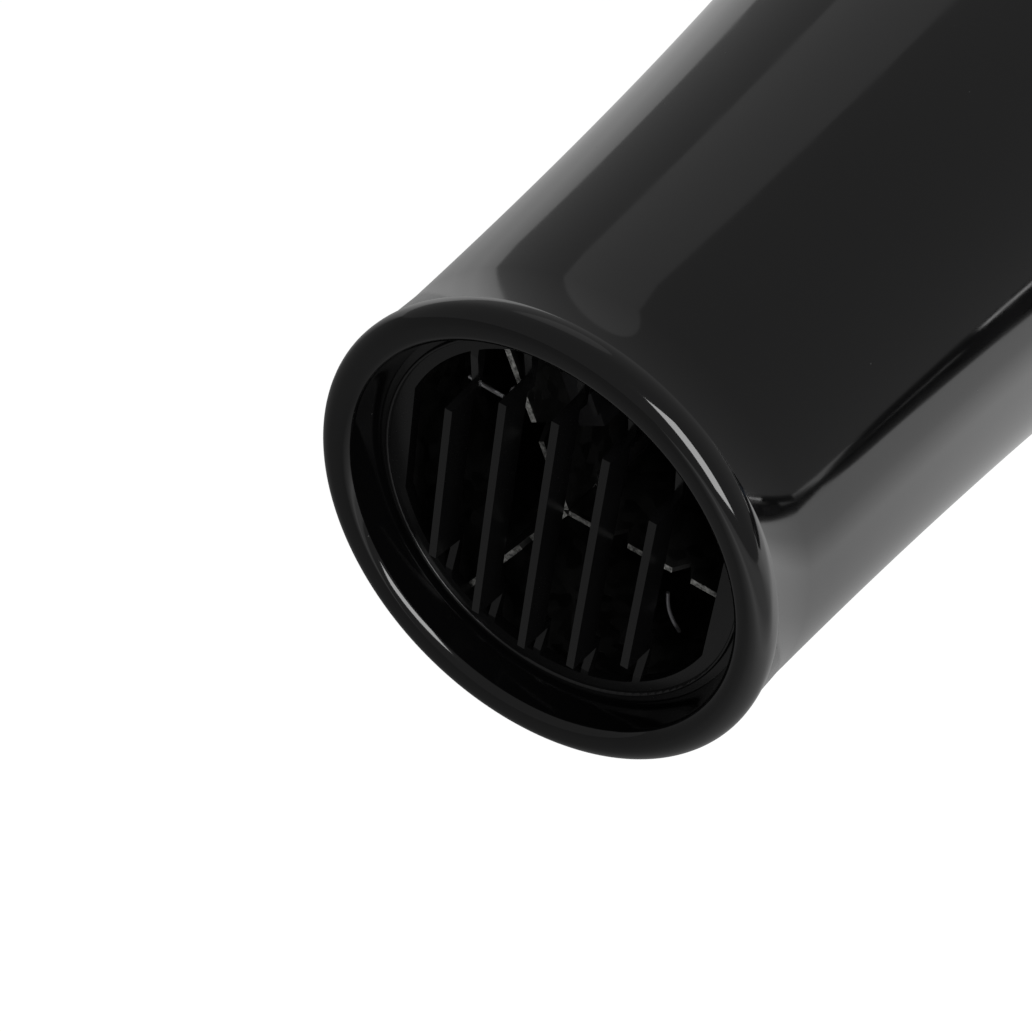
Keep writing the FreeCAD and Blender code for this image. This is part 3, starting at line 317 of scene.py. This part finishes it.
def arc_points(start, end, radius, steps):
    """Points after start along the short arc to end. A positive radius turns left."""
    start, end = Vector(start), Vector(end)
    along = end - start
    half = along.length / 2
    left = Vector((-along.y, along.x)).normalized()
    reach = math.sqrt(max(radius * radius - half * half, 0))
    centre = (start + end) / 2 + left * math.copysign(reach, radius)
    first = math.atan2(start.y - centre.y, start.x - centre.x)
    sweep = 2 * math.asin(half / abs(radius)) * math.copysign(1, radius)
    return [centre + Vector((math.cos(first + sweep * k / steps),
                             math.sin(first + sweep * k / steps))) * abs(radius)
            for k in range(1, steps + 1)]


def section(corners):
    """A closed (radius, depth) line. A corner may add the radius of the arc to it, and its steps."""
    points = [Vector(corners[-1][:2])]
    for corner in corners:
        if len(corner) > 2:
            points += arc_points(points[-1], corner[:2], corner[2], corner[3])
        else:
            points.append(Vector(corner))
    return points[1:]


def take_mesh(holder, name):
    """The plain mesh that an object's curve or modifiers make. The object is used up."""
    bpy.context.scene.collection.objects.link(holder)
    graph = bpy.context.evaluated_depsgraph_get()
    mesh = bpy.data.meshes.new_from_object(holder.evaluated_get(graph))
    holder.modifiers.clear()
    bpy.data.objects.remove(holder)
    mesh.name = name
    return mesh


def new_piece(name, mesh, finish, body, replaced=(), sharp=30):
    """Puts a finished mesh in the scene as a piece that rides on a body."""
    piece = bpy.data.objects.new(name, mesh)
    bpy.context.scene.collection.objects.link(piece)
    mesh.materials.clear()
    mesh.materials.append(FINISHES[finish])
    mesh.shade_smooth()
    mesh.set_sharp_from_angle(angle=math.radians(sharp))
    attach(piece, body)
    if replaced:
        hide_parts(*replaced)
    return piece


def turned(name, corners, finish, body, replaced=(), around=288, sharp=30):
    """A piece turned about the barrel's axis from a closed section in millimetres."""
    line = section(corners)
    shape = bmesh.new()
    rings = []
    for k in range(around):
        a = TAU * k / around
        rings.append([shape.verts.new((p.x * MM * math.cos(a), at(p.y), p.x * MM * math.sin(a)))
                      for p in line])
    for k, ring in enumerate(rings):
        beside = rings[(k + 1) % around]
        for j in range(len(line)):
            n = (j + 1) % len(line)
            shape.faces.new((ring[j], ring[n], beside[n], beside[j]))
    bmesh.ops.recalc_face_normals(shape, faces=shape.faces)
    mesh = bpy.data.meshes.new(name)
    shape.to_mesh(mesh)
    shape.free()
    return new_piece(name, mesh, finish, body, replaced, sharp)


# ---------------------------------------------------------------- finishes on the frame's pieces

for node in NODES.values():
    for place in node.material_slots:
        if place.material and place.material.name.split(".")[0] in FINISHES:
            place.material = FINISHES[place.material.name.split(".")[0]]

# ---------------------------------------------------------------- barrel

def barrel():
    """The barrel and its lip, with the same section as the part's and every curve drawn finely."""
    collar, wall, rear = 25.4, 2.1, 36.9
    flare_start, seat, length, flare = 9, 109, 118, 1060
    spigot = rear - wall - 0.15
    slope = (rear - collar) / (length - flare_start)
    run = seat - flare_start
    inside = collar - wall + slope * run - run * (length - seat) / (2 * flare)
    turned("barrel_skin", (
        (22.95, 0.13, 1.25, 10), (24.1, 0, 5.7, 8), (25.75, 1.7, 1.7, 14), (25.4, 3.4, 4.3, 8),
        (collar, flare_start), (rear, length, -flare, 28), (spigot, length), (spigot, 124),
        (spigot - 1.5, 124), (spigot - 1.5, 113), (inside, seat),
        (collar - wall, flare_start, flare, 10), (collar - wall, 4.7),
        (21.4, 4.7), (22.05, 1.15)),
        "gloss_shell", "housing", ["barrel_shell"], around=360)


barrel()


# ---------------------------------------------------------------- what repeats

class Maker(Graph):
    """A Geometry Nodes tree with named sizes, which makes one piece."""

    def __init__(self, name, **sizes):
        self.tree = bpy.data.node_groups.new(name, "GeometryNodeTree")
        face = self.tree.interface
        face.new_socket("Geometry", in_out="OUTPUT", socket_type="NodeSocketGeometry")
        face.new_socket("Finish", in_out="INPUT", socket_type="NodeSocketMaterial")
        for label, value in sizes.items():
            kind = "NodeSocketInt" if isinstance(value, int) else "NodeSocketFloat"
            face.new_socket(label, in_out="INPUT", socket_type=kind)
        self.sizes = sizes
        self.given = self.tree.nodes.new("NodeGroupInput")

    def __getitem__(self, label):
        return Value(self, self.given.outputs[label])

    def vector(self, operation, first, second):
        key = "Scale" if operation == "SCALE" else 1
        return self.node("VectorMath", {"operation": operation}, {0: first, key: second})

    def xyz(self, x=0.0, y=0.0, z=0.0):
        return self.node("CombineXYZ", None, {0: x, 1: y, 2: z})

    def tube(self, curve, radius, sides):
        """A thin round wire along a curve."""
        ring = self.node("GeometryNodeCurvePrimitiveCircle", None,
                         {"Resolution": sides, "Radius": radius})
        return self.node("GeometryNodeCurveToMesh", None, {"Curve": curve, "Profile Curve": ring,
                                                           "Fill Caps": True})

    def make(self, geometry, name, finish, body, replaced):
        """Ends the tree, runs it, and puts its mesh in the scene as a piece."""
        solid = self.node("GeometryNodeRealizeInstances", None, {0: geometry})
        solid = self.node("GeometryNodeSetMaterial", None, {"Geometry": solid,
                                                            "Material": self["Finish"]})
        end = self.tree.nodes.new("NodeGroupOutput")
        self.tree.links.new(solid.socket, end.inputs[0])
        holder = bpy.data.objects.new(name + "_maker", bpy.data.meshes.new(name + "_seed"))
        modifier = holder.modifiers.new("maker", "NODES")
        modifier.node_group = self.tree
        for item in self.tree.interface.items_tree:
            if item.in_out == "INPUT":
                modifier[item.identifier] = self.sizes.get(item.name, FINISHES[finish])
        return new_piece(name, take_mesh(holder, name), finish, body, replaced)


def wound_wire():
    """The heater wire: a fine coil wound in straight runs from notch to notch, board to board."""
    t = Maker("wound_wire", Turns=16, Across=18.05 * MM, First=at(22.0), Pitch=3.2 * MM,
              Coil=0.36 * MM, CoilPitch=0.75 * MM, Wire=0.1 * MM)
    corners = t.node("GeometryNodeMeshLine", None, {"Count": t["Turns"] * 3})
    index = t.node("GeometryNodeInputIndex")
    angle = index * (TAU / 3)
    row = t.maths("FLOOR", index * (1 / 3) + 0.01)
    corner = t.xyz(t.maths("COSINE", angle) * t["Across"], row * t["Pitch"] + t["First"],
                   t.maths("SINE", angle) * t["Across"])
    corners = t.node("GeometryNodeSetPosition", None, {"Geometry": corners, "Position": corner})
    route = t.node("GeometryNodeMeshToCurve", None, {"Mesh": corners})
    route = t.node("GeometryNodeResampleCurve", {"mode": "LENGTH"},
                   {"Curve": route, "Length": t["CoilPitch"] * 0.125})
    along = t.node("GeometryNodeSplineParameter", out=1)
    turn = t.maths("DIVIDE", along, t["CoilPitch"]) * TAU
    normal = t.node("GeometryNodeInputNormal")
    side = t.vector("CROSS_PRODUCT", t.node("GeometryNodeInputTangent"), normal)
    out = t.vector("ADD", t.vector("SCALE", normal, t.maths("COSINE", turn) * t["Coil"]),
                   t.vector("SCALE", side, t.maths("SINE", turn) * t["Coil"]))
    coil = t.node("GeometryNodeSetPosition", None, {"Geometry": route, "Offset": out})
    t.make(t.tube(coil, t["Wire"], 3), "heater_wire_coil", "heater_wire", "housing",
           ["heater_wire_main", "heater_wire_low"])


def woven_filter():
    """The filter's wire cloth: two sets of wires that pass over and under each other."""
    pitch = 1.5
    low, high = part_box("filter_mesh")
    t = Maker("woven_filter", Wires=int(2 * 34.6 // pitch) + 1, Radius=34.8 * MM,
              Pitch=pitch * MM, Wave=0.12 * MM, Wire=0.13 * MM, Depth=(low[1] + high[1]) / 2)
    place = t.node("GeometryNodeInputPosition")
    first_wire = (t["Wires"] - 1) * t["Pitch"] * -0.5
    cloth = []
    for side, spread, run, over in ((0, "x", "z", 1), (2, "z", "x", -1)):
        feet = t.node("GeometryNodeMeshLine", None,
                      {"Count": t["Wires"], "Start Location": t.xyz(**{spread: first_wire}),
                       "Offset": t.xyz(**{spread: t["Pitch"]})})
        across = t.part_of(place, side)
        reach = t.maths("SQRT", t["Radius"] * t["Radius"] - across * across)
        wire = t.node("GeometryNodeCurvePrimitiveLine", None,
                      {"Start": t.xyz(**{run: -1.0}), "End": t.xyz(**{run: 1.0})})
        stretch = t.xyz(**{"x": 1.0, "y": 1.0, "z": 1.0, run: reach})
        wires = t.node("GeometryNodeInstanceOnPoints", None,
                       {"Points": feet, "Instance": wire, "Scale": stretch})
        wires = t.node("GeometryNodeRealizeInstances", None, {0: wires})
        wires = t.node("GeometryNodeResampleCurve", {"mode": "LENGTH"},
                       {"Curve": wires, "Length": t["Pitch"] * 0.25})
        crossing = t.maths("DIVIDE", t.part_of(place, 0) + t.part_of(place, 2), t["Pitch"])
        wave = t.maths("COSINE", crossing * math.pi) * t["Wave"] * over + t["Depth"]
        wires = t.node("GeometryNodeSetPosition", None,
                       {"Geometry": wires, "Offset": t.xyz(0.0, wave, 0.0)})
        cloth.append(t.tube(wires, t["Wire"], 4))
    joined = t.tree.nodes.new("GeometryNodeJoinGeometry")
    for wires in cloth:
        t.tree.links.new(wires.socket, joined.inputs[0])
    t.make(Value(t, joined.outputs[0]), "filter_weave", "steel", "rear_cover", ["filter_mesh"])


def press_spring():
    """The cool-shot button's spring, made at rest; the real one shortens against its inner end as the
    button goes in.
    """
    low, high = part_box("cool_shot_spring")
    wire = 0.25 * MM
    length = high[1] - low[1]
    t = Maker("press_spring", Turns=4.5, Across=(high[0] - low[0]) / 2 - wire,
              Length=length - 2 * wire, Wire=wire)
    helix = t.node("GeometryNodeCurveSpiral", None,
                   {"Resolution": 40, "Rotations": t["Turns"], "Start Radius": t["Across"],
                    "End Radius": t["Across"], "Height": t["Length"]})
    middle = ((low[0] + high[0]) / 2, high[1] - wire, (low[2] + high[2]) / 2)
    helix = t.node("GeometryNodeTransform", None,
                   {"Geometry": helix, "Translation": middle, "Rotation": (TAU / 4, 0, 0)})
    spring = t.make(t.tube(helix, t["Wire"], 10), "cool_shot_coil", "steel", "housing",
                    ["cool_shot_spring"])
    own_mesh(spring)


wound_wire()
woven_filter()
press_spring()

# ---------------------------------------------------------------- small parts behind the grille

def bent_wire(name, route, thickness, finish, body):
    """A short wire, round in section, through places given as (x, depth, z) in millimetres."""
    line = bpy.data.curves.new(name + "_line", "CURVE")
    line.dimensions = "3D"
    line.bevel_depth = thickness / 2 * MM
    line.bevel_resolution = 3
    line.use_fill_caps = True
    spline = line.splines.new("NURBS")
    spline.points.add(len(route) - 1)
    for point, (x, depth, z) in zip(spline.points, route):
        point.co = (x * MM, at(depth), z * MM, 1)
    spline.use_endpoint_u = True
    spline.order_u = 3
    spline.resolution_u = 6
    holder = bpy.data.objects.new(name + "_line", line)
    return new_piece(name, take_mesh(holder, name), finish, body)


def heater_front_wires():
    """The ends of the heater's circuits: a strap, an eyelet with its tail, and a curved lead."""
    bent_wire("heater_strap", [(-13.4, 7.6, 9.0), (-11.2, 7.4, 9.0), (-9.2, 7.4, 9.0)], 0.5,
              "steel", "housing")
    eye = [(-7.9 + 1.1 * math.cos(a), 8.2, 9.2 + 1.1 * math.sin(a))
           for a in (math.radians(200 - 36 * k) for k in range(10))]
    bent_wire("heater_eyelet", eye + [(-7.0, 9.0, 7.6), (-6.0, 12.0, 6.4)], 0.4, "steel",
              "housing")
    bent_wire("heater_lead", [(12.1, 6.8, -3.3), (12.3, 6.8, -4.8), (13.0, 6.9, -6.4),
                              (13.9, 7.2, -7.8), (12.8, 10.0, -11.0)], 0.4, "screw_steel",
              "housing")


heater_front_wires()

# ---------------------------------------------------------------- studio

def card(name, azimuth, elevation, distance, width, height, radiance, centre=(0, 0, 0),
         shape="RECTANGLE"):
    """A light that faces centre from a direction given in degrees, azimuth from +X towards +Y."""
    a, e = math.radians(azimuth), math.radians(elevation)
    away = Vector((math.cos(a) * math.cos(e), math.sin(a) * math.cos(e), math.sin(e)))
    lamp = bpy.data.lights.new(name, "AREA")
    lamp.shape = shape
    lamp.size, lamp.size_y = width, height
    lamp.energy = math.pi * width * height * radiance
    made = bpy.data.objects.new(name, lamp)
    made.location = Vector(centre) + away * distance
    made.rotation_euler = away.to_track_quat("Z", "Y").to_euler()
    made.visible_camera = False
    bpy.context.scene.collection.objects.link(made)


card("key_softbox", -35, 41, 0.9, 0.44, 0.74, 8)
card("sky_panel", 122, 38, 0.9, 0.56, 0.4, 0.14, shape="ELLIPSE")
card("tube_light", 0, 0, 0.077, 0.042, 0.0012, 2.6, centre=(0, 0.105, 0.0126))


def studio_floor():
    """A table that glows: plain white to the camera, dimmer and in broad bands to what mirrors it."""
    size = 6.0
    mesh = bpy.data.meshes.new("floor")
    mesh.from_pydata([(-size, -size, FLOOR), (size, -size, FLOOR), (size, size, FLOOR),
                      (-size, size, FLOOR)], [], [(0, 1, 2, 3)])
    floor = bpy.data.objects.new("floor", mesh)
    bpy.context.scene.collection.objects.link(floor)
    f = Finish("table", Base_Color=(0.03, 0.03, 0.03, 1), Roughness=0.9,
               Emission_Color=(1, 1, 1, 1), Emission_Strength=1.0)
    side = f.ramp(f.part_of(f.place, 0) * 5 + 0.2, (0.2, 0.0), (0.42, 0.3), (0.62, 0.75), (0.9, 0.4))
    behind = f.ramp(f.part_of(f.place, 1) * 4, (0.05, 0.0), (0.5, 0.35), (1.0, 0.5))
    seen = f.node("LightPath", out="Is Camera Ray")
    f.feed(Emission_Color=f.tint(seen, f.grey(side + behind + 0.13), (1, 1, 1)))
    mesh.materials.append(f.material)


studio_floor()


def studio_world():
    """Light from all round: plain white to the camera, and a dimmer grey to everything else."""
    world = bpy.data.worlds.new("studio")
    bpy.context.scene.world = world
    world.use_nodes = True
    sky = Graph()
    sky.tree = world.node_tree
    seen = sky.node("LightPath", out="Is Camera Ray")
    colour = sky.node("Mix", {"data_type": "RGBA"},
                      {"Factor": seen, 6: (0.27, 0.27, 0.27, 1), 7: (1, 1, 1, 1)}, 2)
    sky.tree.links.new(colour.socket, sky.tree.nodes["Background"].inputs["Color"])


def set_camera(azimuth, elevation, roll, distance, aim):
    """A camera that looks at aim. Azimuth 0 looks along +Y, and angles are in degrees."""
    lens = bpy.data.cameras.new("camera")
    lens.lens = 82.43
    lens.sensor_width = 36
    lens.clip_start = 0.01
    camera = bpy.data.objects.new("camera", lens)
    bpy.context.scene.collection.objects.link(camera)
    azimuth, elevation = math.radians(azimuth), math.radians(elevation)
    back = Vector((math.sin(azimuth) * math.cos(elevation),
                   -math.cos(azimuth) * math.cos(elevation), math.sin(elevation)))
    turn = Matrix.Rotation(math.radians(roll), 3, back)
    right = turn @ Vector((math.cos(azimuth), math.sin(azimuth), 0))
    axes = Matrix((right, back.cross(right), back)).transposed()
    camera.matrix_world = Matrix.Translation(Vector(aim) + back * distance) @ axes.to_4x4()
    bpy.context.scene.camera = camera


studio_world()
set_camera(29.1, 44.1, 8.2, 0.2253, aim=(-0.0024, -0.0053, 0.0021))
bpy.context.scene.view_settings.view_transform = "Standard"
